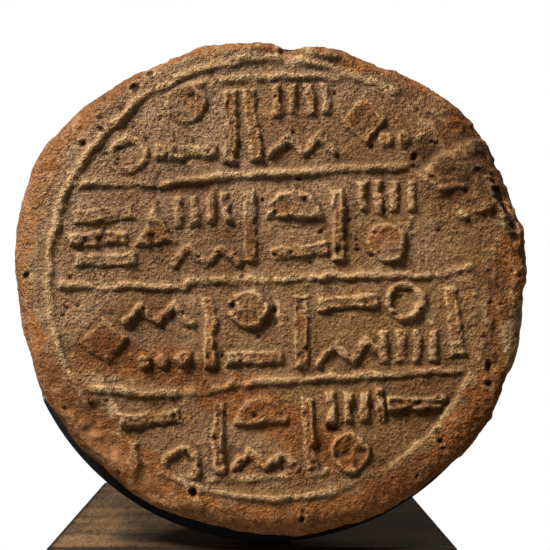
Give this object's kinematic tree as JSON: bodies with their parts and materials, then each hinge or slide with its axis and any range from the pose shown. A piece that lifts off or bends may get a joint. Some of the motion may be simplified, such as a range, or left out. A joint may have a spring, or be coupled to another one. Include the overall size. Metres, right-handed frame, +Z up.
{
  "type": "funerary cone on a display stand",
  "caption": "Solid fired-clay cone with a round stamped face, lying in two padded steel cradles on a dark wooden block.",
  "frame": {"origin": "middle of the baize's underside, where the wooden block stands on a table", "axes": "+Z up; the stamped face looks along -Y and the tail points along +Y; +X is to the right of a viewer who faces the stamp"},
  "size_m": [0.0951, 0.1858, 0.1169],
  "materials": {
    "clay": "matt, rough fired clay",
    "dark_wood": "satin dark stain",
    "black_steel": "satin black",
    "black_felt": "matt felt",
    "green_baize": "matt baize",
    "bright_steel": "zinc plated"
  },
  "bodies": {
    "stand": {"base_block": "dark_wood", "base_felt": "green_baize", "front_cradle": "black_steel", "front_cradle_pad": "black_felt", "front_stud": "black_steel", "rear_cradle": "black_steel", "rear_cradle_pad": "black_felt", "rear_post": "black_steel", "stud_washers": "bright_steel", "stud_nuts": "bright_steel"},
    "cone": {"clay_cone": "clay"}
  },
  "joints": [
    {"name": "cone_lift", "type": "slide", "parent": "stand", "child": "cone", "axis": [0, 0, 1], "range_m": [0, 0.06]}
  ]
}
